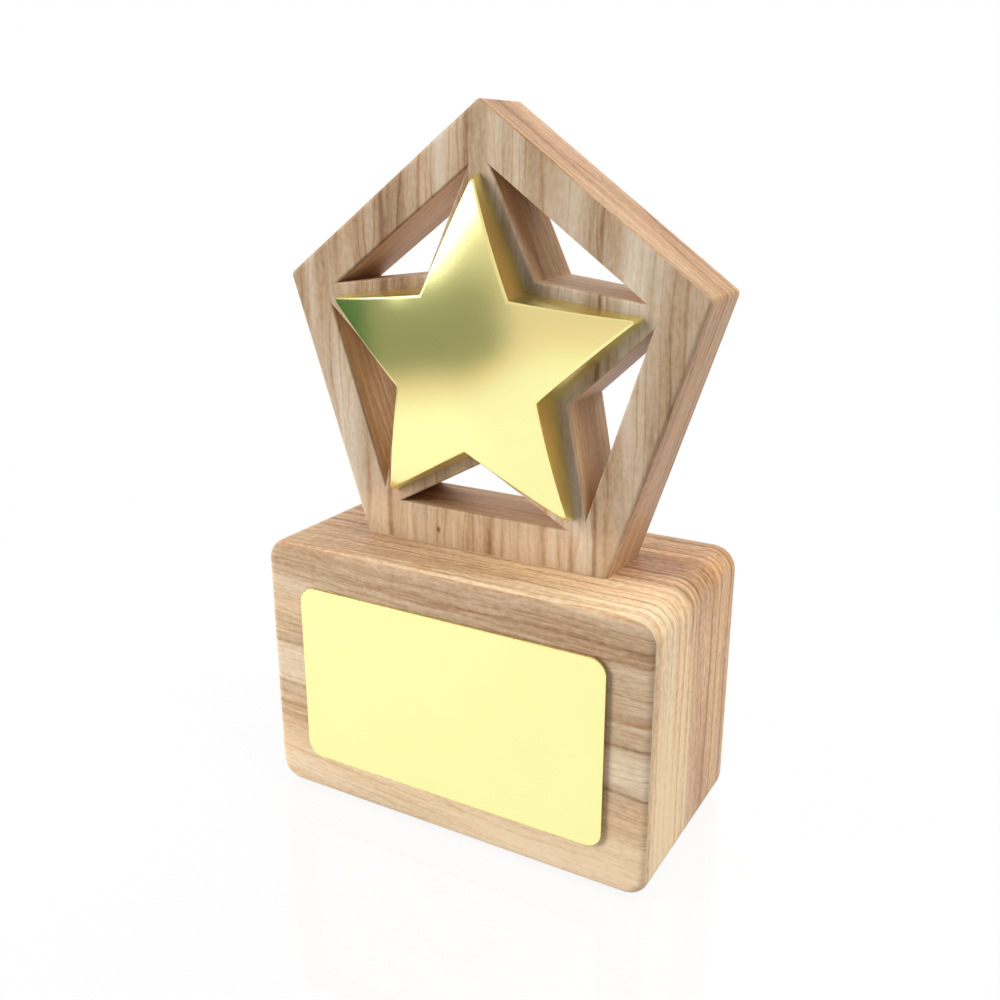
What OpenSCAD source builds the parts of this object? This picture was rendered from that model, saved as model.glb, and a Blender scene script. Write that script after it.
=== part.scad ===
// Star trophy: a timber block with a gold name plate carries a pentagon board,
// cut out around a star-shaped web, and a domed gold star stands on that web.
// Millimetres, +Z up, front towards -Y. The origin is the middle of the face it rests on.

/* [Base block] */
// Width of the block, side to side
base_w = 100; // [94:1:140]
// Depth of the block, front to back
base_d = 50; // [40:1:80]
// Height of the block
base_h = 65; // [58:1:90]
// Radius of the block's four long corners
base_corner_r = 5.5; // [3:0.5:9]
// Round on the block's front and back edges
base_edge_r = 2; // [0.5:0.1:2.8]

/* [Felt pad] */
// Thickness of the felt
felt_t = 1.5; // [1:0.1:3]
// How far the felt stands out of its recess
felt_proud = 0.3; // [0.2:0.05:0.8]
// Wood left between the flat underside's edge and the felt's recess
felt_margin = 2; // [0.5:0.5:4]
// Corner radius of the felt
felt_corner_r = 4; // [2:0.5:8]
// Gap between the felt's edge and the wall of its recess
felt_gap = 0.25; // [0.1:0.05:0.5]

/* [Star frame] */
// Centre of the pentagon to its corners, before they are rounded
frame_r = 54.2; // [52:0.1:62]
// Thickness of the board
frame_t = 17.5; // [15:0.5:24]
// Width of the five outer rails
rail_w = 9.25; // [8.5:0.25:11]
// Wood left between the gold star's notches and the cut-outs
web_margin = 2.95; // [2:0.05:5]
// Length of rail left between a cut-out's end and the corner of the opening in the pentagon
neck_run = 3.4; // [2.5:0.1:5]
// Round on the board's outer edges
frame_edge_r = 1; // [0.3:0.1:1.1]
// Radius of the pentagon's corners
frame_vertex_r = 1.3; // [1.2:0.1:3]
// Easing on the edges of the cut-outs
cutout_ease = 0.5; // [0.2:0.1:0.9]

/* [Gold star] */
// Centre of the star to its points, at the back, before they are rounded
star_tip_r = 40.3; // [38:0.1:41.5]
// Centre of the star to its notches, at the back
star_notch_r = 19.65; // [18.8:0.05:20.4]
// Radius of its points, at the back
star_point_r = 0.6; // [0.3:0.1:1]
// Height of the star at its middle
star_h = 7.9; // [7.4:0.1:11]
// Radius of the dome that its front follows
star_dome_r = 147; // [125:1:300]
// Draft of its sides, in degrees
star_draft = 9.5; // [4:0.5:11]
// Wall thickness of the casting
star_wall = 2; // [1.2:0.1:2.5]
// Diameter of the threaded boss in its hollow back
star_boss_d = 9; // [6.5:0.5:12]
// Diameter of the two cast pins that stop it from turning
star_pin_d = 3; // [2:0.25:4]
// How far the pins reach into the board
star_pin_l = 5; // [3:0.5:8]
// Distance between the pins
star_pin_spacing = 24; // [20:0.5:28]
// Diameter of the feet that the pins stand on
star_pin_boss_d = 6; // [5:0.5:7]

/* [Star screw] */
// Nominal thread of the screw
star_screw_d = 4; // [3:0.5:5]
// Length of the screw under its head
star_screw_l = 16; // [14:1:18]
// Length of thread held by the casting
star_thread_l = 5; // [4:0.25:5.5]
// Diameter of the head
star_head_d = 8; // [7:0.25:9]
// Height of the head
star_head_h = 2.8; // [2:0.1:3.2]
// Outer diameter of the washer
star_washer_d = 11; // [9:0.25:13]
// Thickness of the washer
star_washer_t = 0.8; // [0.5:0.1:1.2]

/* [Name plate] */
// Width of the plate
plate_w = 79.2; // [60:0.2:86]
// Height of the plate
plate_h = 44.7; // [30:0.1:50]
// Thickness of the plate
plate_t = 0.85; // [0.5:0.05:1.5]
// Corner radius of the plate
plate_corner_r = 3.8; // [2:0.1:8]
// Thickness of the adhesive sheet behind it
adhesive_t = 0.15; // [0.1:0.05:0.5]
// Distance from the plate's edge to the adhesive's edge
adhesive_inset = 1; // [0.5:0.1:2]

/* [Frame fixings] */
// Outside diameter of the two wood screws
frame_screw_d = 3.5; // [3:0.25:4]
// Length of each wood screw under its head
frame_screw_l = 35; // [30:1:40]
// Depth to which the wood screws enter the board
frame_grip = 11; // [9:0.5:12]
// Diameter of the wood screws' heads
frame_head_d = 7; // [6:0.25:8]
// Height of the wood screws' heads
frame_head_h = 2.5; // [2:0.1:3]
// Outer diameter of the washers under them
frame_washer_d = 9; // [8:0.25:10]
// Thickness of the washers under them
frame_washer_t = 1; // [0.5:0.1:1.5]
// Diameter of the two dowels
dowel_d = 5; // [4:0.5:6]
// Length of the dowels
dowel_l = 16; // [13:0.5:24]
// Distance between the dowels
dowel_spacing = 24; // [16:1:28]
// Wood left above a dowel's hole in the bottom rail
dowel_roof = 1.75; // [1.5:0.05:2.5]

/* [Clearances] */
// Radial gap round a thread or a dowel in its own hole
snug_gap = 0.05; // [0.02:0.01:0.1]
// Radial gap round a screw that passes through a hole
screw_gap = 0.25; // [0.1:0.05:0.4]
// Radial gap round a washer in its counterbore
washer_gap = 0.4; // [0.2:0.05:0.6]
// Space left past the end of a screw or dowel
end_gap = 0.5; // [0.2:0.1:0.8]

/* [Hidden] */
// Number of points, and half the angle between two neighbouring ones
points = 5;
half_step = 180 / points;
// Overlap of a cut past the face that it opens
past = 1;
// Steps in the rounds of the block and the board
round_step = 30;
// Facets of the small rounds, of the large dome and of each of the star's points
$fn = 48;
dome_fn = 240;
point_fn = 4;
// Drive recess of the screws: arm length and depth as shares of the head, and arm width
drive_span = 0.6;
drive_depth = 0.55;
drive_w = 0.9;
// Shoulder of a screw head, as shares of its radius and height
head_crown = 0.72;
head_flank = 0.6;
// Ends of the screws, as shares of the thread: length of the taper and width left at its tip
machine_taper = 1 / 8;
machine_tip = 3 / 4;
wood_taper = 1;
wood_tip = 1 / 4;

// Levels: the block stands on the felt, the board on the block
base_z = felt_proud;
top_z = base_z + base_h;

// Pentagon board
frame_apothem = frame_r * cos(half_step);
star_z = top_z + frame_apothem;
front_y = -frame_t / 2;
rear_y = frame_t / 2;
vertex_centre_r = (frame_apothem - frame_vertex_r) / cos(half_step);
// The two feet run on past the top of the block and are cut off flat there
foot_run = (frame_vertex_r + frame_edge_r) / sin(2 * half_step) + past;

// Cut-outs: triangles between a rail and two edges of the web
web_notch_r = star_notch_r + web_margin;
cutout_top = frame_apothem - rail_w;
cutout_half = cutout_top * tan(half_step) - neck_run;
// Centre and radius of the circle that fits the triangle, so that scaling about it eases evenly
cutout_stretch = norm([1, (cutout_top - web_notch_r) / cutout_half]);
cutout_mid = (cutout_top * cutout_stretch + web_notch_r) / (cutout_stretch + 1);
cutout_in_r = cutout_top - cutout_mid;

// Gold star: half the angle of a point, distance of its edges from the centre, and the arc that rounds it
point_angle = atan2(star_notch_r * sin(half_step), star_tip_r - star_notch_r * cos(half_step));
edge_distance = star_tip_r * sin(point_angle);
point_centre_r = star_tip_r - star_point_r / sin(point_angle);
point_swing = 90 - point_angle;
dome_y = front_y - star_h + star_dome_r;

// Star screw: the wood that it clamps, and where its washer sits
star_clamp = star_screw_l - star_washer_t - star_thread_l;
star_seat_y = front_y + star_clamp;
star_seat_r = star_washer_d / 2 + washer_gap;

// Board screws stand in the feet, between the ends of the bottom and side cut-outs
side_tip_x = cutout_top * sin(3 * half_step) + cutout_half * cos(3 * half_step);
foot_x = (cutout_half + side_tip_x) / 2;
frame_head_z = top_z + frame_grip - frame_screw_l;
frame_seat_z = frame_head_z + frame_washer_t;
frame_seat_r = frame_washer_d / 2 + washer_gap;

// Dowels
dowel_top_z = top_z + rail_w - dowel_roof - end_gap;
dowel_low_z = dowel_top_z - dowel_l;

// Plate and felt
plate_z = base_z + base_h / 2;
plate_back_y = -base_d / 2 - adhesive_t;
felt_w = base_w - 2 * (base_corner_r + felt_margin + felt_gap);
felt_d = base_d - 2 * (base_edge_r + felt_margin + felt_gap);

timber = "#cfae8c";
gold = "#f4d77a";
steel = "#b9bcc0";

// Stands a flat outline, drawn in X and Z, upright and thickens it towards the front from y
module upright(y, depth, end_scale = 1)
    translate([0, y, 0]) rotate([90, 0, 0]) linear_extrude(depth, scale = end_scale) children();

// Rounded rectangle about the centre
module rounded_rect(w, h, r) {
    square([w - 2 * r, h], center = true);
    square([w, h - 2 * r], center = true);
    for (x = [-1, 1], y = [-1, 1])
        translate([x * (w / 2 - r), y * (h / 2 - r)]) circle(r);
}

// Post along Y with rounded ends, for a hull that gets rounded edges: r at its middle, depth end to end
module corner_post(x, z, r, depth, edge_r)
    for (turn = [0 : round_step : 90]) {
        half = depth / 2 - edge_r * (1 - sin(turn));
        translate([x, half, z]) rotate([90, 0, 0]) cylinder(r = r - edge_r * (1 - cos(turn)), h = 2 * half);
    }

// Two copies, d apart along X
module pair(d)
    for (side = [-1, 1]) translate([side * d / 2, 0, 0]) children();

// Star outline about the centre, one point upwards: an arc at each point, then the notch that follows it
module star_outline()
    polygon([for (k = [0 : points - 1]) let (turn = 2 * half_step * k) each concat(
        [for (i = [0 : point_fn]) let (swing = turn + point_swing * (2 * i / point_fn - 1))
            point_centre_r * [sin(turn), cos(turn)] + star_point_r * [sin(swing), cos(swing)]],
        [star_notch_r * [sin(turn + half_step), cos(turn + half_step)]])]);

// Turns what stands on Z to point at the front, from y, on the star's axis
module from_rear(y)
    translate([0, y, star_z]) rotate([90, 0, 0]) children();

// Star body that leans in with the draft from the front of the board; inset moves its edges inwards
module drafted_star(inset) {
    share = (edge_distance - inset) / edge_distance;
    lean = tan(star_draft) * star_h / (edge_distance - inset);
    translate([0, 0, star_z]) upright(front_y, star_h, 1 - lean) scale(share) star_outline();
}

// Ball whose front is the dome of the star, drawn in by inset
module dome(inset)
    translate([0, dome_y, star_z]) sphere(r = star_dome_r - inset, $fn = dome_fn);

// Screw with its tip up, its head under z = 0 and a cross-shaped recess; taper and tip shape its end
module screw(d, l, head_d, head_h, taper, tip) {
    head_r = head_d / 2;
    difference() {
        rotate_extrude() polygon([
            [0, -head_h], [head_r * head_crown, -head_h], [head_r, -head_h * head_flank], [head_r, 0],
            [d / 2, 0], [d / 2, l - d * taper], [d * tip / 2, l], [0, l]]);
        for (turn = [0, 90])
            rotate(turn) translate([-head_d * drive_span / 2, -drive_w / 2, -head_h - past])
                cube([head_d * drive_span, drive_w, head_h * drive_depth + past]);
    }
}

module washer(d, hole_d, t)
    difference() {
        cylinder(d = d, h = t);
        translate([0, 0, -past]) cylinder(d = hole_d, h = t + 2 * past);
    }

// One triangular cut-out, above the centre of the pentagon, with its edges eased at both faces
module cutout() {
    corners = [[-cutout_half, cutout_top], [cutout_half, cutout_top], [0, web_notch_r]];
    opened = (cutout_in_r + cutout_ease) / cutout_in_r;
    translate([0, 0, cutout_mid]) {
        upright(rear_y + past, frame_t + 2 * past)
            polygon([for (c = corners) c - [0, cutout_mid]]);
        for (face = [0, 1]) mirror([0, face, 0])
            upright(front_y + cutout_ease, 2 * cutout_ease, (2 * opened - 1))
                polygon([for (c = corners) c - [0, cutout_mid]]);
    }
}

// Pentagon with rounded edges and corners, standing flat on the block
module frame_blank()
    difference() {
        hull() for (k = [0 : points - 1]) {
            angle = 2 * half_step * k;
            is_foot = cos(angle) < -cos(2 * half_step);
            run = is_foot ? foot_run : 0;
            lean = sign(sin(angle)) * half_step / 2;
            corner_post(vertex_centre_r * sin(angle) - run * sin(lean),
                        star_z + vertex_centre_r * cos(angle) - run * cos(lean),
                        frame_vertex_r, frame_t, frame_edge_r);
        }
        translate([-frame_r, -frame_t, top_z - frame_r]) cube([2 * frame_r, 2 * frame_t, frame_r]);
    }

module base_block() color(timber) difference() {
    hull() for (x = [-1, 1], z = [-1, 1])
        corner_post(x * (base_w / 2 - base_corner_r), base_z + base_h / 2 + z * (base_h / 2 - base_corner_r),
                    base_corner_r, base_d, base_edge_r);
    // Recess for the felt
    translate([0, 0, base_z - past]) linear_extrude(felt_t - felt_proud + past)
        rounded_rect(felt_w + 2 * felt_gap, felt_d + 2 * felt_gap, felt_corner_r + felt_gap);
    // Holes for the wood screws, wide below their washers
    pair(2 * foot_x) {
        translate([0, 0, base_z - past]) cylinder(r = frame_seat_r, h = frame_seat_z - base_z + past);
        translate([0, 0, base_z]) cylinder(r = frame_screw_d / 2 + screw_gap, h = base_h + past);
    }
    // Holes for the dowels
    pair(dowel_spacing) translate([0, 0, dowel_low_z - end_gap])
        cylinder(r = dowel_d / 2 + snug_gap, h = top_z - dowel_low_z + end_gap + past);
}

module star_frame() color(timber) difference() {
    frame_blank();
    for (k = [0 : points - 1])
        translate([0, 0, star_z]) rotate([0, half_step * (2 * k + 1), 0]) cutout();
    // Hole for the star's screw, wide behind its washer, and blind holes for the star's pins
    from_rear(rear_y + past) {
        cylinder(r = star_screw_d / 2 + screw_gap, h = frame_t + 2 * past);
        cylinder(r = star_seat_r, h = rear_y - star_seat_y + past);
    }
    pair(star_pin_spacing) from_rear(front_y + star_pin_l + end_gap)
        cylinder(r = star_pin_d / 2 + snug_gap, h = star_pin_l + end_gap + past);
    // Holes for the wood screws and the dowels
    pair(2 * foot_x) translate([0, 0, top_z - past])
        cylinder(r = frame_screw_d / 2 + snug_gap, h = frame_grip + end_gap + past);
    pair(dowel_spacing) translate([0, 0, top_z - past])
        cylinder(r = dowel_d / 2 + snug_gap, h = dowel_top_z + end_gap - top_z + past);
}

module gold_star() color(gold) {
    difference() {
        intersection() {
            drafted_star(0);
            dome(0);
        }
        // Hollow back, with a threaded boss and the feet of the two pins left standing in it
        difference() {
            intersection() {
                drafted_star(star_wall);
                dome(star_wall);
            }
            from_rear(front_y + past) cylinder(d = star_boss_d, h = star_h + 2 * past);
            pair(star_pin_spacing) from_rear(front_y + past) cylinder(d = star_pin_boss_d, h = star_h + 2 * past);
        }
        from_rear(front_y + past) cylinder(r = star_screw_d / 2 + snug_gap, h = star_thread_l + end_gap + past);
    }
    pair(star_pin_spacing) from_rear(front_y + star_pin_l) cylinder(d = star_pin_d, h = star_pin_l + star_wall);
}

module star_screw() color(steel)
    from_rear(star_seat_y + star_washer_t)
        screw(star_screw_d, star_screw_l, star_head_d, star_head_h, machine_taper, machine_tip);

module star_washer() color(steel)
    from_rear(star_seat_y + star_washer_t)
        washer(star_washer_d, star_screw_d + 2 * screw_gap, star_washer_t);

module name_plate() color(gold)
    translate([0, 0, plate_z]) upright(plate_back_y, plate_t) rounded_rect(plate_w, plate_h, plate_corner_r);

module plate_adhesive() color("white")
    translate([0, 0, plate_z]) upright(-base_d / 2, adhesive_t)
        rounded_rect(plate_w - 2 * adhesive_inset, plate_h - 2 * adhesive_inset, plate_corner_r - adhesive_inset);

module frame_screws() color(steel)
    pair(2 * foot_x) translate([0, 0, frame_head_z])
        screw(frame_screw_d, frame_screw_l, frame_head_d, frame_head_h, wood_taper, wood_tip);

module frame_washers() color(steel)
    pair(2 * foot_x) translate([0, 0, frame_head_z])
        washer(frame_washer_d, frame_screw_d + 2 * screw_gap, frame_washer_t);

module frame_dowels() color("burlywood")
    pair(dowel_spacing) translate([0, 0, dowel_low_z]) cylinder(d = dowel_d, h = dowel_l);

module felt_pad() color("black")
    linear_extrude(felt_t) rounded_rect(felt_w, felt_d, felt_corner_r);

base_block();
star_frame();
gold_star();
star_screw();
star_washer();
name_plate();
plate_adhesive();
frame_screws();
frame_washers();
frame_dowels();
felt_pad();
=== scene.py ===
import math

import bmesh
import bpy
import numpy as np
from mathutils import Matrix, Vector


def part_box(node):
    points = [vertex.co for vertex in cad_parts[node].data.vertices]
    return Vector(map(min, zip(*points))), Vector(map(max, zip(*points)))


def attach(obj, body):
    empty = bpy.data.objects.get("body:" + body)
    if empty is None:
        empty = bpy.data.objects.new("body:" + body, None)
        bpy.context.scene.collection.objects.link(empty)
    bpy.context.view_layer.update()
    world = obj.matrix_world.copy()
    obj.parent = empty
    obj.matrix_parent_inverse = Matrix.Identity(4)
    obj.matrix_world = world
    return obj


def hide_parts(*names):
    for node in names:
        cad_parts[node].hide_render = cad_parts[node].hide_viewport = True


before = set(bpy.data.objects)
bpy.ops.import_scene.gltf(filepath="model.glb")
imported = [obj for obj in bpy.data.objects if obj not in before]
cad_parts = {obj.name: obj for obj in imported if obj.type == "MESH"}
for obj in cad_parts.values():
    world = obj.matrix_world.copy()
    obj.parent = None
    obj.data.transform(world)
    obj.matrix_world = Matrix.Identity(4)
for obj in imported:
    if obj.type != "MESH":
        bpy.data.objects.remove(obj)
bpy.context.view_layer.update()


# Base block
# One block of pale open-grained timber. Its four long corners are worked to a wide radius, the edges of
# its front and back are eased, and a shallow recess underneath takes the felt. Satin lacquer covers it.

mm = 0.001
block_low, block_high = [np.array(corner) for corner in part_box("base_block")]
block_half = (block_high - block_low) / 2
block_mid = (block_high + block_low) / 2
block_corner_r = 5.5 * mm
block_edge_r = 2 * mm
felt_low, felt_high = [np.array(corner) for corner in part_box("felt_pad")]
felt_half = (felt_high - felt_low) / 2
felt_corner_r = 4 * mm
recess_gap = 0.25 * mm
round_steps = 6
merge_reach = 0.001 * mm


def eased_section(half_depth, radius, steps=round_steps, flat=0.3 * mm):
    """Insets and depths from the front of a slab round to its back: a quarter circle at either face, with
    one more ring on the flat at both ends of each, so that the flats stay flat in the light."""
    turn = np.linspace(0, np.pi / 2, steps + 1)
    inset = np.concatenate([[radius + flat], radius * (1 - np.sin(turn)), [0]])
    depth = np.concatenate([[0], radius * (1 - np.cos(turn)), [radius + flat]])
    from_middle = np.concatenate([depth - half_depth, half_depth - depth[::-1]])
    return np.concatenate([inset, inset[::-1]]), from_middle


def rounded_rectangle(half_w, half_h, radius, inset, steps=8):
    """Rings of a rectangle with round corners, one for each inset. Every corner is an arc about a fixed
    centre whose radius shrinks with the inset. A ring starts at the right end of the lower side."""
    corner = np.repeat(np.arange(4), steps + 1)
    turn = np.tile(np.linspace(0, np.pi / 2, steps + 1), 4) + (corner - 1) * np.pi / 2
    middle = np.stack([(half_w - radius) * np.array([1, 1, -1, -1])[corner],
                       (half_h - radius) * np.array([-1, 1, 1, -1])[corner]], -1)
    reach = radius - np.asarray(inset)[:, None, None]
    return middle + reach * np.stack([np.cos(turn), np.sin(turn)], -1)


def closed(grid):
    """Repeats the first column at the end, so that a ring meets itself."""
    return np.concatenate([grid, grid[:, :1]], axis=1)


def upright(ring, depth, rise=0.0):
    """Stands flat rings, drawn in X and Z, at their depths along Y."""
    depth = np.broadcast_to(np.asarray(depth)[:, None], ring.shape[:2])
    return np.stack([ring[..., 0], depth, ring[..., 1] + rise], -1)


def with_pole(grid):
    """Puts a row in front that is one point, the middle of the first ring, so that a face closes."""
    middle = (grid[:1].min(axis=1, keepdims=True) + grid[:1].max(axis=1, keepdims=True)) / 2
    return np.concatenate([np.broadcast_to(middle, grid[:1].shape), grid])


def run_length(path):
    """Distance along a row of points from its first one, in millimetres."""
    step = np.linalg.norm(np.diff(path, axis=0), axis=1)
    return np.concatenate([[0], np.cumsum(step)]) / mm


def wall_grain(grid, shift=(0, 0)):
    """Grain map of a wall: along its middle row, and across it by the distance down its first column."""
    along = run_length(grid[len(grid) // 2]) + shift[0]
    across = run_length(grid[:, 0]) + shift[1]
    return np.stack(np.meshgrid(along, across), -1)


def flat_grain(grid, along, across, shift=(0, 0), lean=0.0):
    """Grain map of a flat face: two of its coordinates, numbered 0 to 2, in millimetres. The grain may lean
    by a share of the distance along it."""
    flat = grid[..., [along, across]] / mm
    return flat + flat[..., :1] * np.array([0, lean]) + np.array(shift)


def make_piece(name, patches, materials, crease=35):
    """One mesh from open grids. A patch is its points in metres, its grain map in millimetres and the
    number of its material. Quads join neighbouring points, and equal points are then merged, which
    closes the seams, the poles and the borders between patches. Edges bent past crease stay sharp."""
    quads, grains, numbers, first = [], [], [], 0
    for spots, grain, number in patches:
        rows, columns = spots.shape[:2]
        index = np.arange(rows * columns).reshape(rows, columns)
        corners = np.stack([index[:-1, :-1], index[:-1, 1:], index[1:, 1:], index[1:, :-1]], -1)
        corners = corners.reshape(-1, 4)
        quads.append(corners + first)
        grains.append(np.broadcast_to(grain, (rows, columns, 2)).reshape(-1, 2)[corners.ravel()])
        numbers.append(np.full(len(corners), number))
        first += rows * columns
    mesh = bpy.data.meshes.new(name)
    mesh.from_pydata(np.concatenate([spots.reshape(-1, 3) for spots, _, _ in patches]).tolist(), [],
                     np.concatenate(quads).tolist())
    mesh.uv_layers.new(name="grain").uv.foreach_set("vector", np.concatenate(grains).ravel())
    mesh.polygons.foreach_set("material_index", np.concatenate(numbers))
    weld = bmesh.new()
    weld.from_mesh(mesh)
    bmesh.ops.remove_doubles(weld, verts=weld.verts, dist=merge_reach)
    bmesh.ops.dissolve_degenerate(weld, edges=weld.edges, dist=merge_reach)
    bmesh.ops.recalc_face_normals(weld, faces=weld.faces)
    weld.to_mesh(mesh)
    weld.free()
    mesh.shade_smooth()
    mesh.set_sharp_from_angle(angle=math.radians(crease))
    for material in materials:
        mesh.materials.append(material)
    piece = bpy.data.objects.new(name, mesh)
    bpy.context.scene.collection.objects.link(piece)
    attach(piece, "root")
    return piece


class Wire:
    """One output socket of a shader node. Arithmetic on wires adds Math nodes to the same tree."""

    def __init__(self, socket):
        self.socket = socket
        self.tree = socket.id_data

    def node(self, kind, settings=None, sockets=None, output=0):
        """Adds a node of that type: its settings come first, then the values or links of its sockets."""
        made = self.tree.nodes.new(kind)
        for name, value in (settings or {}).items():
            if name == "stops":
                ramp = made.color_ramp.elements
                while len(ramp) < len(value):
                    ramp.new(1)
                for element, (position, colour) in zip(ramp, value):
                    element.position = position
                    element.color = colour
            else:
                setattr(made, name, value)
        for name, value in (sockets or {}).items():
            if isinstance(value, Wire):
                self.tree.links.new(value.socket, made.inputs[name])
            else:
                made.inputs[name].default_value = value
        return Wire(made.outputs[output])

    def output(self, name):
        """Another output of the same node."""
        return Wire(self.socket.node.outputs[name])

    def into(self, node, name):
        """Links this wire to a socket of a node."""
        self.tree.links.new(self.socket, node.inputs[name])

    def math(self, operation, *values):
        return self.node("ShaderNodeMath", {"operation": operation}, dict(enumerate(values)))

    def __add__(self, other):
        return self.math("ADD", self, other)

    def __sub__(self, other):
        return self.math("SUBTRACT", self, other)

    def __rsub__(self, other):
        return self.math("SUBTRACT", other, self)

    def __mul__(self, other):
        return self.math("MULTIPLY", self, other)

    def __truediv__(self, other):
        return self.math("DIVIDE", self, other)

    def __rtruediv__(self, other):
        return self.math("DIVIDE", other, self)

    def __neg__(self):
        return self.math("MULTIPLY", self, -1)

    __radd__ = __add__
    __rmul__ = __mul__

    def between(self, low, high):
        """0 below low, 1 above high, and a smooth rise from one to the other."""
        return self.node("ShaderNodeMapRange", {"interpolation_type": "SMOOTHSTEP"},
                         {"Value": self, "From Min": low, "From Max": high})

    def hump(self, middle, half_width):
        """1 at the middle and falling away on both sides as a bell does."""
        away = (self - middle) / half_width
        return self.math("EXPONENT", -(away * away))


def blend(share, near, far, mode="MIX"):
    """A colour that goes from near to far as the share goes from 0 to 1."""
    return share.node("ShaderNodeMix", {"data_type": "RGBA", "blend_type": mode},
                      {"Factor": share, 6: near, 7: far}, 2)


def bump(height, strength, distance):
    """The normal of a surface that rises and falls with a height."""
    return height.node("ShaderNodeBump", {}, {"Height": height, "Strength": strength, "Distance": distance})


def colour(code):
    """A colour written as six hexadecimal digits, as the shaders take it."""
    parts = np.array([int(code[i:i + 2], 16) for i in (0, 2, 4)]) / 255
    linear = np.where(parts <= 0.04045, parts / 12.92, ((parts + 0.055) / 1.055) ** 2.4)
    return (*linear.tolist(), 1)


def new_material(name, constants):
    """A material with one Principled shader, whose constants are set on its own sockets. It comes with
    that shader and a wire that carries the Object coordinates."""
    material = bpy.data.materials.new(name)
    material.use_nodes = True
    shader = material.node_tree.nodes["Principled BSDF"]
    for socket, value in constants.items():
        shader.inputs[socket].default_value = value
    place = Wire(material.node_tree.nodes.new("ShaderNodeTexCoord").outputs["Object"])
    return material, shader, place


def timber(name, shades, ring_w, ring_depth, band_depth, fibre_depth, marks=(), knots=(), patches=(),
           seed=0.0):
    """Lacquered open-grained timber. The grain map gives millimetres along and across the grain. Growth
    rings are thin dark lines about ring_w apart that wander and fade, darker by ring_depth. Noise drawn out
    along the grain makes broad zones and streaks, which band_depth strengthens, and fibres, mottling and
    pores, which fibre_depth strengthens. A mark is a band of its own: where it lies across the grain, its
    half width and how much darker it is. A knot is a dark eye, at a place along and across the grain and
    of a radius. A patch is a stretch of another shade: its place and its half sizes along and across the
    grain, then how much darker and how much redder it is."""
    plain_tone = 0.46
    plain_redness = 0.35
    blush = (1.06, 0.95, 0.82, 1)
    eye_depth = 0.75
    eye_stretch = 1.5
    satin = 0.47
    material, shader, place = new_material(name, {"Specular IOR Level": 0.4})
    grain = place.node("ShaderNodeUVMap", {"uv_map": "grain"})
    along = place.node("ShaderNodeSeparateXYZ", {}, {0: grain})
    across = along.output("Y")

    def noise(wide, long, detail, layer):
        """Noise about 0, of 1 at most, with features so many millimetres across and along the grain."""
        spot = place.node("ShaderNodeCombineXYZ", {},
                          {"X": bent / wide, "Y": along / long, "Z": seed + layer})
        return place.node("ShaderNodeTexNoise", {}, {"Vector": spot, "Scale": 1, "Detail": detail}) * 2 - 1

    bent = across
    eyes = []
    for knot_along, knot_across, knot_r in knots:
        from_eye_a = (along - knot_along) / (eye_stretch * knot_r)
        from_eye_b = (across - knot_across) / knot_r
        near = place.math("EXPONENT", -(from_eye_a * from_eye_a + from_eye_b * from_eye_b))
        eyes.append(near)
        bent = bent - near * (across - knot_across) * 0.8
    bent = bent + noise(26, 75, 1, 3) * 2.4 + noise(6, 22, 1, 5) * 0.8 + noise(2, 6, 0, 9) * 0.2

    zones = noise(14, 90, 1, 7)
    streaks = noise(ring_w * 1.6, 60, 2, 11)
    fibres = noise(0.45, 5, 2, 17)
    mottling = noise(0.9, 1.6, 1, 23)
    pores = noise(0.25, 2.5, 1, 19).between(0.25, 0.5)
    wandering = bent + noise(ring_w * 3, 70, 1, 37) * ring_w * 2.2
    from_ring = wandering.math("PINGPONG", wandering, ring_w / 2)
    rings = (1 - from_ring.between(0, ring_w * 0.17)) * noise(ring_w * 2, 45, 1, 41).between(-0.5, 0.3)
    bands = (zones + streaks) * band_depth
    fine = (fibres + mottling * 0.75 - pores * 0.2) * fibre_depth
    tone = plain_tone + bands + fine - rings * ring_depth
    for middle, half_width, depth in marks:
        tone = tone - bent.hump(middle, half_width) * depth
    for eye in eyes:
        tone = tone - eye * eye_depth
    redness = plain_redness + noise(10, 70, 1, 43) * 0.9 + rings * 0.7
    for patch_along, patch_across, half_l, half_w, depth, redder in patches:
        here = along.hump(patch_along, half_l) * across.hump(patch_across, half_w)
        tone = tone - here * depth
        redness = redness + here * redder
    stops = [(i / (len(shades) - 1), colour(code)) for i, code in enumerate(shades)]
    shade = place.node("ShaderNodeValToRGB", {"stops": stops}, {"Fac": tone})
    blend(redness.between(0, 1), shade, blush, "MULTIPLY").into(shader, "Base Color")
    (satin + fibres * 0.12 + pores * 0.12).into(shader, "Roughness")
    relief = fibres * 0.25 - pores * 0.8 - rings * 0.2
    bump(relief, 0.5, 0.05 * mm).into(shader, "Normal")
    return material


# The last mark, a broad band that makes the front paler towards its foot, is partly the timber's own tone
# and partly painted light: it stands for the light that the white table throws up onto the lower front.
face_marks = [(62, 5, 0.1), (59.5, 0.35, 0.12), (57.8, 0.3, 0.16), (56.2, 0.35, 0.12), (53.5, 1.6, -0.08),
              (42.5, 0.35, 0.14), (40.5, 0.3, 0.14), (37.2, 0.5, 0.3), (34, 2.6, -0.28), (29.8, 2.6, -0.3),
              (27, 0.45, 0.3), (24, 0.4, 0.14), (21.5, 0.5, 0.14), (18.5, 0.4, 0.12), (7, 13, -0.46)]
face_patches = [(-46, 34, 9, 18, -0.02, 0), (0, 60, 300, 8, -0.01, -0.7), (0, 32, 300, 5, 0, -0.8),
                (0, 6, 300, 12, -0.03, 0.8)]
block_face = timber(
    "block_face_timber", ["8b6848", "b08d6a", "c9ab8b", "ddc4a4", "f0d9b9", "ffefd6"],
    ring_w=1.5, ring_depth=0.18, band_depth=0.3, fibre_depth=0.2, marks=face_marks, patches=face_patches)
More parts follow.
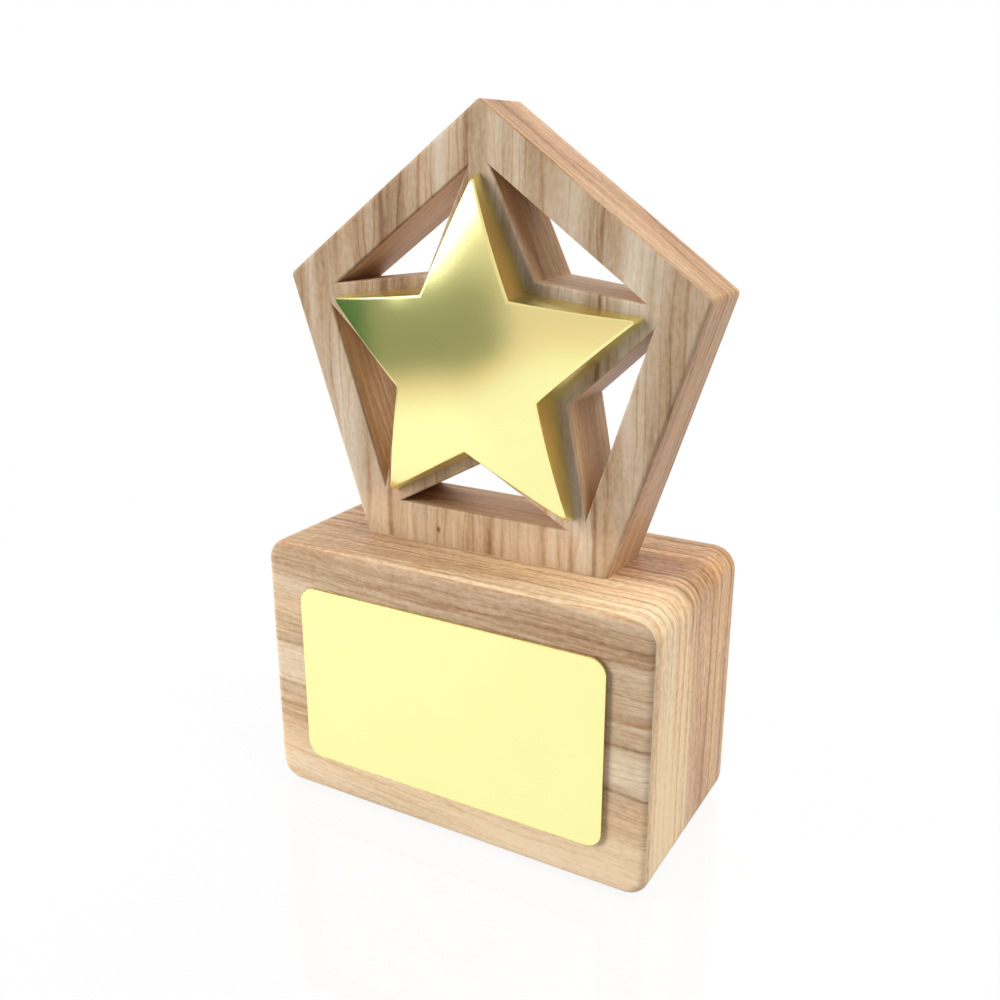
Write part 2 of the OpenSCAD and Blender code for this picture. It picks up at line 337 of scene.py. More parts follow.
side_marks = [(2.6, 0.25, 0.14), (5.2, 0.4, 0.16), (8.3, 0.3, 0.2), (12, 0.5, 0.14), (15.5, 0.35, 0.2),
              (19.5, 0.7, 0.24), (24.5, 0.4, 0.2), (29, 8, 0.06), (33, 0.5, 0.2), (38, 0.4, 0.18),
              (45, 0.6, 0.3)]
# The first patch, a paler and redder stretch at the front of the right wall, is partly the timber's own tone
# and partly painted light. The last patch, paler at the foot of the right wall, is painted light. Both stand
# for light thrown up from the white table, so the wall turns paler towards the bottom.
side_patches = [(20, 8, 60, 11, -0.56, 0.6), (82, 6, 22, 12, -0.08, 0), (82, 28, 20, 16, 0.36, 0),
                (115, 12, 60, 30, -0.1, -0.6), (35, 38, 40, 16, -0.03, 0.9), (8, 25, 25, 25, -0.1, 0)]
block_side = timber(
    "block_side_timber", ["886249", "b18a66", "d0a882", "e8c8a1", "fae2ba", "ffedca"],
    ring_w=0.9, ring_depth=0.3, band_depth=0.32, fibre_depth=0.27, marks=side_marks, patches=side_patches,
    seed=40)
face_lean = 0.03

inset, depth = eased_section(block_half[1], block_edge_r)
block_outlines = rounded_rectangle(block_half[0], block_half[2], block_corner_r, inset)
block_rings = upright(block_outlines, depth, block_mid[2])
half_round = 1 + round_steps // 2
front_rows = slice(0, half_round + 1)
wall_rows = slice(half_round, len(inset) - half_round)
back_rows = slice(len(inset) - half_round - 1, len(inset))
block_front = with_pole(closed(block_rings[front_rows]))
block_back = with_pole(closed(block_rings[back_rows][::-1]))
block_wall = block_rings[wall_rows]
under = block_wall[:, [-1, 0]]
under_front = under[:len(under) // 2]
under_back = under[len(under) // 2:]
recess_half = felt_half + recess_gap
recess = rounded_rectangle(recess_half[0], recess_half[1], felt_corner_r + recess_gap, [0])[0]
recess_corner = np.stack([under_front[-1, 1], under_back[0, 1], under_back[0, 0], under_front[-1, 0]])
recess_edge = np.column_stack([recess, np.full(len(recess), block_low[2])])
recess_roof = np.column_stack([recess, np.full(len(recess), felt_high[2])])
recess_border = np.repeat(recess_corner, len(recess) // 4, axis=0)
block_recess = closed(np.stack([recess_border, recess_edge, recess_roof]))
block_recess = with_pole(block_recess[::-1])

base_block = make_piece("base_block_timber", [
    (block_front, flat_grain(block_front, 0, 2, lean=face_lean), 0),
    (block_back, flat_grain(block_back, 0, 2, (300, 150), face_lean), 0),
    (block_wall, wall_grain(block_wall), 1),
    (under_front, flat_grain(under_front, 0, 1, (600, 0)), 1),
    (under_back, flat_grain(under_back, 0, 1, (600, 0)), 1),
    (block_recess, flat_grain(block_recess, 0, 1, (600, 0)), 1)], [block_face, block_side])
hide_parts("base_block")


# Star frame
# One thick timber board, sawn to a pentagon that stands on its foot and pierced by five triangles, which
# leave a star-shaped web inside five rails. All edges are eased but those of the foot. Two wood screws
# and two dowels hold it on the block, and a stepped hole from behind takes the screw of the gold star.

board_low, board_high = [np.array(corner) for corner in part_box("star_frame")]
board_half_t = (board_high[1] - board_low[1]) / 2
points = 5
half_step = np.pi / points
pentagon_r = 54.2 * mm
apothem = pentagon_r * np.cos(half_step)
star_mid_z = block_high[2] + apothem
rail_w = 9.25 * mm
neck_run = 3.4 * mm
web_notch_r = 22.6 * mm
vertex_r = 1.3 * mm
rim_r = 1 * mm
cutout_ease = 0.5 * mm
ease_steps = 4
washer_low, washer_high = [np.array(corner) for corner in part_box("star_washer")]
screw_hole_r = 2.25 * mm
washer_r = (washer_high[0] - washer_low[0]) / 2
seat_gap = 0.4 * mm
seat_r = washer_r + seat_gap
seat_ease = 0.3 * mm
side_steps = 24
corner_steps = 5
side_angle = half_step * (2 * np.arange(points) + 1)
foot_side = 2
side_eased = np.where(np.arange(points) == foot_side, 0, 1)
corner_rounded = side_eased * np.roll(side_eased, 1)
cutout_top = apothem - rail_w
cutout_half = cutout_top * np.tan(half_step) - neck_run
cutout_slope = np.hypot(1, (cutout_top - web_notch_r) / cutout_half)
cutout_mid = np.array([0, (cutout_top * cutout_slope + web_notch_r) / (cutout_slope + 1)])
cutout_in_r = cutout_top - cutout_mid[1]


def corner_of(reach_a, reach_b, angle_a, angle_b):
    """Where two straight sides meet. A side lies at its reach from the middle, square to the direction that
    turns by its angle from straight up."""
    spread = np.sin(angle_a - angle_b)
    x = (reach_a * np.cos(angle_b) - reach_b * np.cos(angle_a)) / spread
    z = (reach_b * np.sin(angle_a) - reach_a * np.sin(angle_b)) / spread
    return np.stack([x, z], -1)


def rim(inset):
    """Outlines of the pentagon, one for each inset. The sides move in by the inset, all but the foot, and
    each corner above it is an arc whose radius shrinks with the inset. Every corner has as many points
    as a neck between two cut-outs, and every side as many as a cut-out's edge."""
    inset = np.asarray(inset)[:, None]
    reach = apothem - inset * side_eased
    round_r = np.clip(vertex_r - inset, 0, None) * corner_rounded
    angle_before = side_angle - 2 * half_step
    middle = corner_of(np.roll(reach, 1, axis=1) - round_r, reach - round_r, angle_before, side_angle)
    turn = angle_before[:, None] + 2 * half_step * np.linspace(0, 1, corner_steps + 2)
    arc = middle[:, :, None] + round_r[:, :, None, None] * np.stack([np.sin(turn), np.cos(turn)], -1)
    start = arc[:, :, -1:]
    end = np.roll(arc[:, :, :1], -1, axis=1)
    side = start + (end - start) * np.linspace(0, 1, side_steps + 1)[:, None]
    return np.concatenate([arc[:, :, 1:-1], side], axis=2).reshape(len(inset), -1, 2)


def cutout_edges(opened):
    """Far and near edges of the five cut-outs, each opened by these amounts. A triangle scaled about the
    centre of the circle that fits in it moves all its sides alike. The five are turned about the middle,
    and straight necks join the tips of neighbours, where the far and near edges run together."""
    x = np.linspace(-cutout_half, cutout_half, side_steps + 1)
    near_z = web_notch_r + (cutout_top - web_notch_r) * np.abs(x) / cutout_half
    grow = (1 + np.asarray(opened) / cutout_in_r)[:, None, None]
    share = np.arange(1, corner_steps + 1)[:, None] / (corner_steps + 1)
    cosine, sine = np.cos(side_angle)[:, None], np.sin(side_angle)[:, None]
    edges = []
    for z in (np.full_like(x, cutout_top), near_z):
        flat = (cutout_mid + (np.stack([x, z], -1) - cutout_mid) * grow)[:, None]
        turned = np.stack([flat[..., 0] * cosine + flat[..., 1] * sine,
                           flat[..., 1] * cosine - flat[..., 0] * sine], -1)
        tip_before = np.roll(turned[:, :, -1:], 1, axis=1)
        neck = tip_before + (turned[:, :, :1] - tip_before) * share
        edges.append(np.concatenate([neck, turned], axis=2))
    return edges


def from_foot(ring):
    """Turns a ring so that it starts and ends in the middle of the foot, where its seam is hidden."""
    columns_per_side = corner_steps + side_steps + 1
    foot_middle = foot_side * columns_per_side + corner_steps + side_steps // 2
    return closed(np.roll(ring.reshape(len(ring), -1, 2), -foot_middle, axis=1))


board_marks = [(43, 3.5, 0.08), (33, 4, 0.06), (28.5, 0.5, 0.26), (-3, 0.7, 0.2), (-25, 0.6, 0.3),
               (-23, 8, 0.12), (-43, 5, -0.06)]
board_knots = [(69.05, -11.4, 0.4)]
face_shades = [(69, 0, 9, 60, -0.2, 0.8), (110, 0, 300, 300, 0.1, -0.3), (140, -25, 22, 22, 0.03, 0),
               (88, 38, 22, 12, 0.1, -0.3), (125, 38, 26, 24, -0.1, -0.5)]

# Short dark bands in the lower rail: where each lies across the grain, its half width, and how much
# darker and how much redder it is
rail_mid = 69
rail_reach = 7
rail_bands = [(-18, 0.7, 0.2, 0.3), (-12, 0.9, 0.18, 0.4), (-6, 1, 0.18, 0.4), (2.5, 1, 0.28, 1),
              (5.8, 0.6, 0.2, 0.5), (19.9, 0.9, 0.24, 0.2), (22.9, 0.7, 0.32, 0.3)]
rail_shades = [(rail_mid, across, rail_reach, half_w, darker, redder)
               for across, half_w, darker, redder in rail_bands]
board_face = timber(
    "board_face_timber", ["826247", "a98c6d", "c3ac92", "d7c5ae", "e9ddcb", "f8f1e7"],
    ring_w=2.6, ring_depth=0.16, band_depth=0.38, fibre_depth=0.13, marks=board_marks, knots=board_knots,
    patches=face_shades + rail_shades, seed=80)
wall_shades = [(64, 9, 34, 20, 0.16, 0), (159, 9, 50, 20, 0.14, 0), (254, 9, 34, 20, 0.16, 0)]
board_side = timber(
    "board_side_timber", ["886345", "b18866", "cca580", "dfc19b", "f1dbb9", "fdf0dc"],
    ring_w=1.6, ring_depth=0.32, band_depth=0.32, fibre_depth=0.2, patches=wall_shades, seed=120)
cutout_side = timber(
    "cutout_timber", ["886346", "b18a68", "ccaa86", "e0c5a1", "f2dfc1", "fdf1e0"],
    ring_w=1.6, ring_depth=0.24, band_depth=0.28, fibre_depth=0.16, seed=160)

inset, depth = eased_section(board_half_t, rim_r)
board_rim = upright(from_foot(rim(inset)), depth, star_mid_z)
opened, cut_depth = eased_section(board_half_t, cutout_ease, steps=ease_steps, flat=0.15 * mm)
far_edges, near_edges = cutout_edges(opened)
far_rings = upright(from_foot(far_edges), cut_depth, star_mid_z)
near_rings = upright(from_foot(near_edges), cut_depth, star_mid_z)
web_angle = np.arctan2(near_rings[0, :, 0], near_rings[0, :, 2] - star_mid_z)


def bore_rings(radius, depth):
    """Circles about the star's axis with one point for each column of the web."""
    circle = np.stack([np.sin(web_angle), np.cos(web_angle)], -1)
    return upright(np.asarray(radius)[:, None, None] * circle, depth, star_mid_z)


seat_y = washer_low[1]
bore = bore_rings([screw_hole_r, screw_hole_r, seat_r, seat_r, seat_r + seat_ease],
                  [-board_half_t, seat_y, seat_y, board_half_t - seat_ease, board_half_t])
web_front = np.stack([bore[0], near_rings[0]])
web_back = np.stack([bore[-1], near_rings[-1]])
wall_rows = slice(half_round, len(inset) - half_round)
rail_front = np.concatenate([far_rings[:1], board_rim[:half_round + 1]])
rail_back = np.concatenate([far_rings[-1:], board_rim[:-half_round - 2:-1]])
board_wall = board_rim[wall_rows]
back_shift = (230, 170)
board_patches = [
    (web_front, flat_grain(web_front, 2, 0), 0),
    (rail_front, flat_grain(rail_front, 2, 0), 0),
    (web_back, flat_grain(web_back, 2, 0, back_shift), 0),
    (rail_back, flat_grain(rail_back, 2, 0, back_shift), 0),
    (board_wall, wall_grain(board_wall), 1),
    (bore, wall_grain(bore, (700, 0)), 2)]
for k in range(points):
    far = far_edges[:, k, corner_steps:]
    near = near_edges[:, k, corner_steps:]
    cutout = upright(np.concatenate([far, near[:, -2::-1]], axis=1), cut_depth, star_mid_z)
    eased_front = cutout[:ease_steps + 2]
    eased_back = cutout[-ease_steps - 2:]
    cutout_wall = cutout[ease_steps + 1:-ease_steps - 1]
    board_patches += [
        (eased_front, flat_grain(eased_front, 2, 0), 0),
        (eased_back, flat_grain(eased_back, 2, 0, back_shift), 0),
        (cutout_wall, wall_grain(cutout_wall, (130 * (k + 3), 40 * k)), 2)]
star_frame = make_piece("star_frame_timber", board_patches, [board_face, board_side, cutout_side])
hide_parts("star_frame")


# Gold star
# A five-pointed casting, hollow at the back, with a domed front and sides that lean in. It is polished and
# gold plated, and its front edges are broken by hand. It lies on the web, held by one screw from behind.

star_back_y = board_low[1]
star_tip_r = 40.3 * mm
star_notch_r = 19.65 * mm
star_h = 7.9 * mm
star_dome_r = 147 * mm
star_lean = np.tan(np.radians(9.5))
star_wall = 2 * mm
star_bevel = 0.35 * mm
tip_round_r = 0.6 * mm
tip_half_angle = np.arctan2(star_notch_r * np.sin(half_step), star_tip_r - star_notch_r * np.cos(half_step))
star_edge_reach = star_tip_r * np.sin(tip_half_angle)


def star_outline(edge_steps=16, tip_steps=6):
    """The star's outline at its back. Each point is an arc between two straight edges that run down to the
    notches on either side of it, and the five are turned about the middle."""
    swing = np.linspace(tip_half_angle - np.pi / 2, np.pi / 2 - tip_half_angle, tip_steps + 1)
    arc_mid = star_tip_r - tip_round_r / np.sin(tip_half_angle)
    arc = np.stack([tip_round_r * np.sin(swing), arc_mid + tip_round_r * np.cos(swing)], -1)
    notch = star_notch_r * np.array([np.sin(half_step), np.cos(half_step)])
    edge = arc[-1] + (notch - arc[-1]) * np.linspace(0, 1, edge_steps + 1)[1:, None]
    point = np.concatenate([(edge * [-1, 1])[:0:-1], arc, edge])
    turn = 2 * half_step * np.arange(points)[:, None]
    turned = np.stack([point[:, 0] * np.cos(turn) + point[:, 1] * np.sin(turn),
                       point[:, 1] * np.cos(turn) - point[:, 0] * np.sin(turn)], -1)
    return closed(turned.reshape(1, -1, 2))[0]


def star_skin(wall_steps=5, bevel_steps=5, dome_steps=36, hollow_steps=8):
    """The casting as one closed grid over the outline. All edges lie as far from the middle as each other,
    so a share of the outline is the same as moving every edge inwards. The rows run from the middle of the
    hollow down its wall, round the back rim, up the leaning side, over the bevel and across the dome. The
    number of the row at which the bevel starts comes with them."""
    outline = star_outline()
    reach = np.linalg.norm(outline, axis=1)

    def dome(share, drop):
        """Height of a ball's surface over the board, drawn in by drop."""
        return np.sqrt((star_dome_r - drop) ** 2 - (reach * share) ** 2) - (star_dome_r - star_h)

    def top_edge(drop):
        """Share and height at which the side meets the dome, found by repeating the two formulas."""
        height = np.full_like(reach, star_h / 2)
        for _ in range(20):
            share = 1 - (drop + height * star_lean) / star_edge_reach
            height = dome(share, drop)
        return share, height

    rows = []
    hollow_share, _ = top_edge(star_wall)
    for part in np.linspace(0, 1, hollow_steps + 1):
        rows.append((hollow_share * part, dome(hollow_share * part, star_wall)))
    rows.append((np.full_like(reach, 1 - star_wall / star_edge_reach), np.zeros_like(reach)))
    side_share, side_height = top_edge(0)
    for part in np.linspace(0, 1, wall_steps, endpoint=False):
        height = (side_height - star_bevel) * part
        rows.append((1 - height * star_lean / star_edge_reach, height))
    polished_from = len(rows)
    for turn in np.linspace(0, np.pi / 2, bevel_steps + 1):
        share = side_share - star_bevel * (1 - np.cos(turn)) / star_edge_reach
        rows.append((share, dome(share, 0) - star_bevel * (1 - np.sin(turn))))
    for part in np.linspace(1, 0, dome_steps + 1)[1:]:
        rows.append((share * part, dome(share * part, 0)))
    shares = np.array([row[0] for row in rows])[..., None]
    heights = np.array([row[1] for row in rows])
    flat = outline * shares
    return np.stack([flat[..., 0], star_back_y - heights, flat[..., 1] + star_mid_z], -1), polished_from


def speckle(place, scale, detail, distortion=0):
    """Noise from 0 to 1 with features about 1 / scale across, in the units of the place."""
    return place.node("ShaderNodeTexNoise", {},
                      {"Vector": place, "Scale": scale, "Detail": detail, "Distortion": distortion})


def two_shades(share, dark, light, light_from=0.7):
    """A colour that is dark up to a share of 0.3 and light from a higher share on, with a ramp between."""
    return share.node("ShaderNodeValToRGB", {"stops": [(0.3, dark), (light_from, light)]}, {"Fac": share})


def polished_gold(name, tint, smear, smear_spread):
    """Gold plating on polished metal: a little cloudiness in the colour and the gloss, and a fine trace of
    the polishing wheel in the relief."""
    material, shader, place = new_material(name, {"Metallic": 1.0})
    worn_share = 0.98
    cloud = speckle(place, 55, 3)
    trace = speckle(place, 2600, 2)
    worn = [component * worn_share for component in colour(tint)[:3]] + [1]
    two_shades(cloud, worn, colour(tint)).into(shader, "Base Color")
    (smear + (cloud - 0.5) * smear_spread + (trace - 0.5) * 0.05).into(shader, "Roughness")
    bump(trace, 0.015, 0.004 * mm).into(shader, "Normal")
    return material


star_gold = polished_gold("star_gold", "fffbb0", smear=0.15, smear_spread=0.06)
satin_gold = polished_gold("satin_gold", "f8f0a6", smear=0.32, smear_spread=0.04)
star_points, polished_from = star_skin()
star_front = star_points[polished_from:]
star_side = star_points[:polished_from + 1]
gold_star = make_piece("gold_star_casting", [
    (star_front, flat_grain(star_front, 0, 2), 0),
    (star_side, flat_grain(star_side, 0, 2), 1)], [star_gold, satin_gold])
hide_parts("gold_star")


# Star screw and washer
# A zinc-plated machine screw with a domed head and a cross recess, and the plain washer under it. They sit
# in the stepped hole behind the star and draw the casting against the web.

screw_low, screw_high = [np.array(corner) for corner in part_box("star_screw")]
screw_head_r = (screw_high[0] - screw_low[0]) / 2
screw_r = 2 * mm
thread_pitch = 0.7 * mm
thread_depth = 0.4 * mm
head_crown = 0.7 * mm
head_edge_r = 0.35 * mm
cross_half_w = 0.45 * mm
cross_half_l = 2.4 * mm
cross_depth = 1.5 * mm
cross_taper = 0.22 * mm
washer_ease = 0.12 * mm
zinc_smear = 0.24


def steel(name):
    """Bright zinc plating: a bluish metal with a mottled bloom."""
    material, shader, place = new_material(name, {"Metallic": 1.0})
    bloom = speckle(place, 700, 4)
    two_shades(bloom, colour("b4b7bd"), colour("dcdee2")).into(shader, "Base Color")
    (zinc_smear + (bloom - 0.5) * 0.25).into(shader, "Roughness")
    bump(bloom, 0.2, 0.02 * mm).into(shader, "Normal")
    return material


def on_axis(radius, angle, y):
    """Points at a radius and an angle about the star's axis, at y."""
    x, z = radius * np.sin(angle), radius * np.cos(angle) + star_mid_z
    return np.stack(np.broadcast_arrays(x, y, z), -1)


def screw_skin(columns=180, head_rows=44, rows_per_turn=10):
    """The screw as one closed grid of radius against angle. The head is a shallow cap with a round edge, and
    the recess lowers it where both distances from the cross's arms are small. Along the shank the radius
    rises and falls once in every pitch, shifted by the angle, which winds the thread."""
    angle = np.linspace(0, 2 * np.pi, columns + 1)
    share = np.linspace(0, 1, head_rows)[:, None]
    radius = (screw_head_r - head_edge_r) * share
    side, end = np.abs(radius * np.sin(angle)), np.abs(radius * np.cos(angle))
    inside_w = np.clip((cross_half_w - np.minimum(side, end)) / cross_taper, 0, 1)
    inside_l = np.clip((cross_half_l - np.maximum(side, end)) / cross_taper, 0, 1)
    sunk = cross_depth * np.minimum(inside_w, inside_l)
    crown = on_axis(radius, angle, screw_high[1] - head_crown * share ** 2 - sunk)
    swing = np.linspace(0, np.pi / 2, 6)[1:, None]
    shoulder_y = screw_high[1] - head_crown - head_edge_r
    shoulder_r = screw_head_r - head_edge_r * (1 - np.sin(swing))
    shoulder = on_axis(shoulder_r, angle, shoulder_y + head_edge_r * np.cos(swing))
    seat = washer_high[1]
    under_head = on_axis(np.array([[screw_head_r], [screw_r - thread_depth]]), angle, seat)
    turns = (seat - screw_low[1]) / thread_pitch
    y = np.linspace(seat, screw_low[1], int(turns * rows_per_turn))[:, None]
    wound = (y / thread_pitch - angle / (2 * np.pi)) % 1
    ridge = 1 - np.abs(2 * wound - 1)
    run_out = np.clip(np.minimum(seat - y, y - screw_low[1]) / thread_pitch, 0, 1)
    shank = on_axis(screw_r - thread_depth + thread_depth * ridge * run_out, angle, y)
    tip = on_axis(np.zeros((1, 1)), angle, screw_low[1])
    return np.concatenate([crown, shoulder, under_head, shank, tip])


def washer_skin(columns=96):
    """The washer as a closed profile, a rectangle with eased corners, carried round the axis."""
    inner, inner_eased = screw_hole_r, screw_hole_r + washer_ease
    outer, outer_eased = washer_r, washer_r - washer_ease
    low, low_eased = washer_low[1], washer_low[1] + washer_ease
    high, high_eased = washer_high[1], washer_high[1] - washer_ease
    radius = [inner, inner, inner_eased, outer_eased, outer, outer, outer_eased, inner_eased]
    y = [low_eased, high_eased, high, high, high_eased, low_eased, low, low]
    profile = np.array([radius + radius[:1], y + y[:1]])[..., None]
    return on_axis(profile[0], np.linspace(0, 2 * np.pi, columns + 1), profile[1])


screw_steel = steel("screw_zinc")
for name, node, skin in (("star_screw_steel", "star_screw", screw_skin()),
                         ("star_washer_steel", "star_washer", washer_skin())):
    piece = make_piece(name, [(skin, flat_grain(skin, 0, 2), 0)], [screw_steel], crease=30)
    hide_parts(node)


# Frame screws, washers and dowels
# Two wood screws with washers, driven up through the block into the board's feet, and two beech dowels that
# line the board up. All of them are hidden inside the timber.

for node in ("frame_screws", "frame_washers"):
    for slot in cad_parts[node].material_slots:
        slot.material = screw_steel


def beech(name):
    """Plain turned beech: pale, with short dark flecks along the dowel."""
    material, shader, place = new_material(name, {"Roughness": 0.6})
    long = place.node("ShaderNodeMapping", {}, {"Vector": place, "Scale": (1500, 1500, 250)})
    fleck = speckle(long, 1, 2)
    two_shades(fleck, colour("a97c56"), colour("d2a981"), light_from=0.6).into(shader, "Base Color")
    return material


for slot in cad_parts["frame_dowels"].material_slots:
    slot.material = beech("dowel_beech")


# Name plate and its adhesive
# A thin sheet of gold-coloured metal with round corners and broken edges, left bare, and the double-sided
# sheet behind it that holds it on the front of the block.

plate_low, plate_high = [np.array(corner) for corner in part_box("name_plate")]
plate_half = (plate_high - plate_low) / 2
plate_mid = (plate_high + plate_low) / 2
plate_corner_r = 3.8 * mm
plate_edge_r = 0.15 * mm
plate_face_rows = 4

plate_gold = polished_gold("plate_gold", "fffbb0", smear=0.2, smear_spread=0.06)
inset, depth = eased_section(plate_half[1], plate_edge_r, steps=4, flat=0.1 * mm)
plate_rings = rounded_rectangle(plate_half[0], plate_half[2], plate_corner_r, inset, steps=10)
plate_points = upright(closed(plate_rings), depth + plate_mid[1], plate_mid[2])
plate_front = with_pole(plate_points[:plate_face_rows])
plate_edge = with_pole(plate_points[plate_face_rows - 1:][::-1])
name_plate = make_piece("name_plate_sheet", [
    (plate_front, flat_grain(plate_front, 0, 2), 0),
    (plate_edge, flat_grain(plate_edge, 0, 2), 1)], [plate_gold, satin_gold])
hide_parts("name_plate")


def adhesive(name):
    """Milky acrylic sheet with a faint grain."""
    material, shader, place = new_material(name, {"Roughness": 0.55})
    two_shades(speckle(place, 900, 2), colour("cfcdc4"), colour("e6e4dc")).into(shader, "Base Color")
    return material


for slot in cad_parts["plate_adhesive"].material_slots:
    slot.material = adhesive("acrylic_sheet")


# Felt pad
# A die-cut piece of black wool felt, glued into the recess under the block and standing a little proud of
# it, so that the trophy neither scratches nor slides. Its cut edge is slightly soft.

felt_edge_r = 0.4 * mm


def wool_felt(name):
    """Pressed wool: short crossed fibres, dull and slightly furry in grazing light."""
    dull = {"Roughness": 0.95, "Sheen Weight": 0.35, "Sheen Roughness": 0.5}
    material, shader, place = new_material(name, dull)
    fibre = speckle(place, 2200, 4, distortion=1.5)
    two_shades(fibre, colour("121212"), colour("34322f")).into(shader, "Base Color")
    bump(fibre, 0.7, 0.15 * mm).into(shader, "Normal")
    return material


inset, depth = eased_section(felt_half[2], felt_edge_r, steps=5, flat=0.2 * mm)
felt_rings = closed(rounded_rectangle(felt_half[0], felt_half[1], felt_corner_r, inset))
felt_rise = np.broadcast_to((depth + felt_half[2])[:, None], felt_rings.shape[:2])
felt_points = np.concatenate([felt_rings, felt_rise[..., None]], axis=2)
felt_points = with_pole(with_pole(felt_points)[::-1])
felt_pad = make_piece("felt_pad_wool", [(felt_points, flat_grain(felt_points, 0, 1), 0)],
                      [wool_felt("black_felt")])
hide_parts("felt_pad")


# Studio
# A small white light table in a room that only gloss shows: dark green on the left, grey in front, warm on
# the right, with a bright window at the upper left. Three soft lamps that nothing mirrors light the trophy,
# one low at the left, one high at the right and one behind.

table_mid = np.array([0, -60 * mm, -0.02 * mm])
table_full_r = 160 * mm
table_r = 340 * mm
table_columns = 96
table_shine = 0.04
mirror_blur = 0.04
full_glow = (1, 1, 1, 1)
shed_glow = (0.34, 0.34, 0.34, 1)
shadow_share = 0.06


def light_table():
    """A white disc that glows like paper in full light, less so for the light it sheds on the trophy, and
    fades out towards its rim. A part of it is lit by the lamps and the room alone, which keeps the trophy's
    soft shadow, and a thin gloss adds a faint mirror image. From below it can't be seen."""
    material = bpy.data.materials.new("light_table")
    material.use_nodes = True
    tree = material.node_tree
    tree.nodes.remove(tree.nodes["Principled BSDF"])
    place = Wire(tree.nodes.new("ShaderNodeTexCoord").outputs["Object"])
    lit = place.node("ShaderNodeBsdfDiffuse", {}, {"Color": (1, 1, 1, 1)})
    ray = place.node("ShaderNodeLightPath")
    glow_colour = blend(ray.output("Is Diffuse Ray"), full_glow, shed_glow)
    glow = place.node("ShaderNodeEmission", {}, {"Color": glow_colour})
    mirror = place.node("ShaderNodeBsdfGlossy", {}, {"Color": (1, 1, 1, 1), "Roughness": mirror_blur})
    clear = place.node("ShaderNodeBsdfTransparent")
    white = place.node("ShaderNodeMixShader", {}, {0: 1 - shadow_share, 1: lit, 2: glow})
    glossy = place.node("ShaderNodeMixShader", {}, {0: table_shine, 1: white, 2: mirror})
    away = place.node("ShaderNodeVectorMath", {"operation": "DISTANCE"}, {0: place, 1: table_mid}, "Value")
    from_below = place.node("ShaderNodeNewGeometry").output("Backfacing")
    unseen = place.math("MAXIMUM", away.between(table_full_r, table_r), from_below)
    faded = place.node("ShaderNodeMixShader", {}, {0: unseen, 1: glossy, 2: clear})
    faded.into(tree.nodes["Material Output"], "Surface")
    return material


turn = np.linspace(0, 2 * np.pi, table_columns + 1)
reach = np.array([0, table_r])[:, None]
table_rings = np.broadcast_arrays(reach * np.cos(turn), reach * np.sin(turn), 0.0)
table_points = table_mid + np.stack(table_rings, -1)
table_index = np.arange(2 * len(turn)).reshape(2, -1)
table_quads = np.stack([table_index[:-1, :-1], table_index[1:, :-1],
                        table_index[1:, 1:], table_index[:-1, 1:]], -1)
table_mesh = bpy.data.meshes.new("light_table")
table_mesh.from_pydata(table_points.reshape(-1, 3).tolist(), [], table_quads.reshape(-1, 4).tolist())
table_mesh.materials.append(light_table())
table = bpy.data.objects.new("light_table", table_mesh)
bpy.context.scene.collection.objects.link(table)

green_wall = (0.07, 0.16, 0.08, 1)
grey_wall = (0.285, 0.294, 0.235, 1)
warm_wall = (0.79, 0.67, 0.64, 1)
skirting = (0.93, 0.76, 0.7, 1)
ceiling = (0.86, 0.77, 0.72, 1)
white = (1, 1, 1, 1)
window_face = (4, 4, 4, 1)
glint_face = (2.2, 2.2, 2.2, 1)
soft_daylight = (0.15, 0.15, 0.15, 1)
pale_ground = (0.34, 0.34, 0.34, 1)
world = bpy.data.worlds.new("studio_room")
world.use_nodes = True
bpy.context.scene.world = world
look = Wire(world.node_tree.nodes.new("ShaderNodeTexCoord").outputs["Generated"])
look_x = look.node("ShaderNodeSeparateXYZ", {}, {0: look})
degrees = 180 / np.pi
bearing = look.math("ARCTAN2", look_x, -look_x.output("Y")) * degrees
rise = look.math("ARCSINE", look_x.output("Z")) * degrees

# The walls from left to right, by their bearings in degrees, and how they fade into the ceiling
behind = bearing.math("ABSOLUTE", bearing).between(75, 110)
walls = blend(bearing.between(-110, -85), white, green_wall)
walls = blend(bearing.between(-60, -53), walls, grey_wall)
walls = blend((bearing + rise * 0.2).between(-26, -17), walls, warm_wall)
walls = blend(bearing.between(105, 150), walls, green_wall)
walls = blend(rise.between(1.5, 19) * (1 - behind), walls, ceiling)
walls = blend(rise.between(25, 55), walls, ceiling)

# The white ground ends in a pale skirting at a horizon that is lower on the left
horizon = -16.1 + bearing.between(-60, -34) * 2.4 + bearing.between(-34, -8) * 10.2
above = rise - horizon
ground = blend(above.between(-6, 0), white, skirting)
surroundings = blend(above.between(-2, 5), ground, walls)

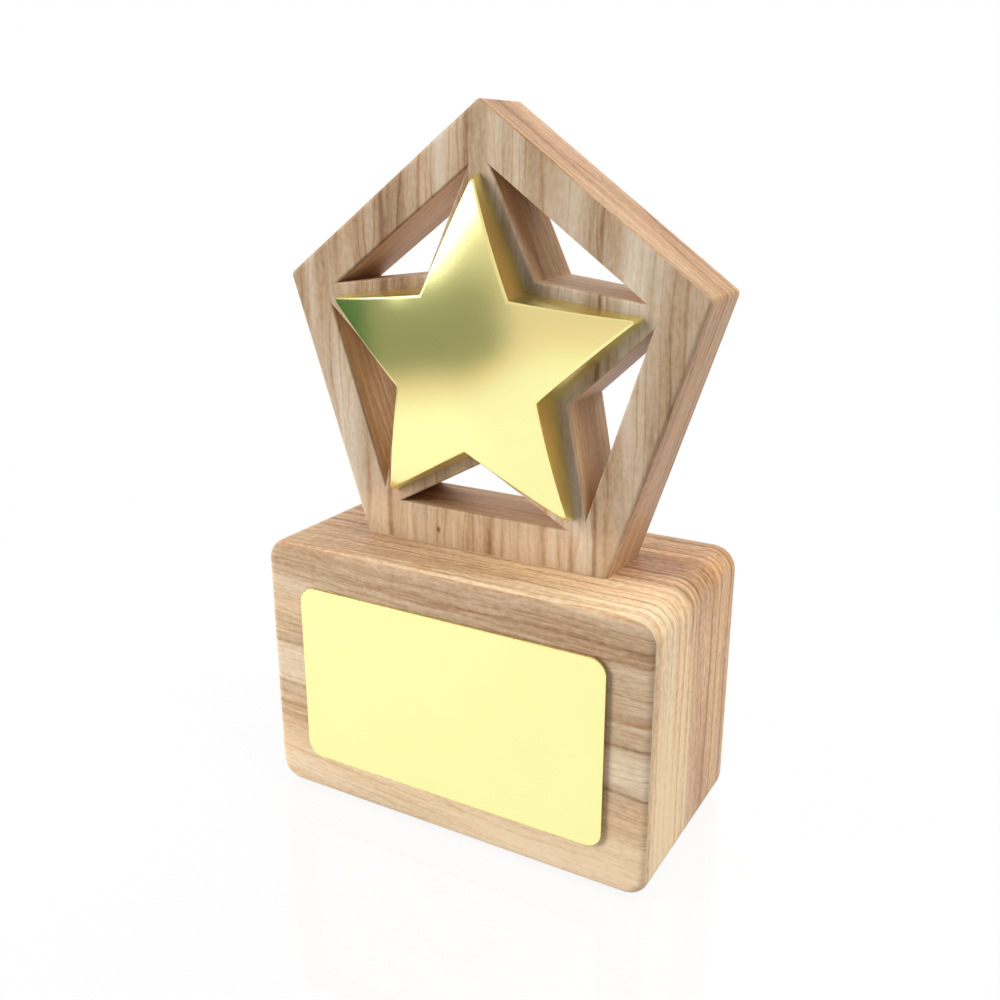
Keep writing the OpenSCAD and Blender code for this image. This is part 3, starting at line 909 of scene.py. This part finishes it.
# The window, cut off along a slanted edge on its right, and a small glint below it
window_edge = rise - 8 - (bearing + 40) * 1.67
window = window_edge.between(-9, 3) * rise.between(3.5, 8.5)
window = window * (1 - rise.between(22, 34)) * bearing.between(-68, -58)
surroundings = blend(window, surroundings, window_face)
glint = bearing.hump(-48.2, 2.2) * rise.hump(1.9, 1.2)
surroundings = blend(glint, surroundings, glint_face)

# Each kind of ray sees its own surroundings
daylight = blend(rise.between(-8, 2), pale_ground, soft_daylight)
ray = look.node("ShaderNodeLightPath")
mirrored = ray.output("Is Glossy Ray") * (1 - ray.output("Diffuse Depth").between(0, 1))
room = blend(mirrored, daylight, surroundings)
room = blend(ray.output("Is Transmission Ray"), room, white)
blend(ray, room, white).into(world.node_tree.nodes["Background"], "Color")


def soft_lamp(name, bearing, rise, away, wide, tall, power):
    """A flat lamp that faces the star from a bearing and a rise in degrees, both seen from the front."""
    bearing, rise = math.radians(bearing), math.radians(rise)
    level = math.cos(rise)
    towards = np.array([math.sin(bearing) * level, -math.cos(bearing) * level, math.sin(rise)])
    lamp = bpy.data.lights.new(name, "AREA")
    lamp.shape = "RECTANGLE"
    lamp.size = wide
    lamp.size_y = tall
    lamp.energy = power
    holder = bpy.data.objects.new(name, lamp)
    holder.location = towards * away + np.array([0, 0, star_mid_z])
    holder.rotation_euler = (math.pi / 2 - rise, 0, bearing)
    holder.visible_glossy = False
    bpy.context.scene.collection.objects.link(holder)


soft_lamp("window_lamp", bearing=-50, rise=10, away=1.0, wide=0.4, tall=1.0, power=12.5)
soft_lamp("side_lamp", bearing=88, rise=48, away=1.2, wide=0.8, tall=0.8, power=10.8)
soft_lamp("back_lamp", bearing=165, rise=40, away=1.2, wide=0.8, tall=0.8, power=7.8)


# Camera
# It stands at the right of the front and looks down a little, with a plain standard lens.

camera_turn = math.radians(29.7)
camera_rise = math.radians(17.9)
lens = bpy.data.cameras.new("camera")
lens.sensor_fit = "HORIZONTAL"
lens.sensor_width = 36
lens.lens = 38.128
lens.clip_start = 0.01
camera = bpy.data.objects.new("camera", lens)
camera.location = (116.51 * mm, -204.06 * mm, 151.55 * mm)
camera.rotation_euler = (math.pi / 2 - camera_rise, 0, camera_turn)
bpy.context.scene.collection.objects.link(camera)
bpy.context.scene.camera = camera
bpy.context.scene.view_settings.view_transform = "Standard"
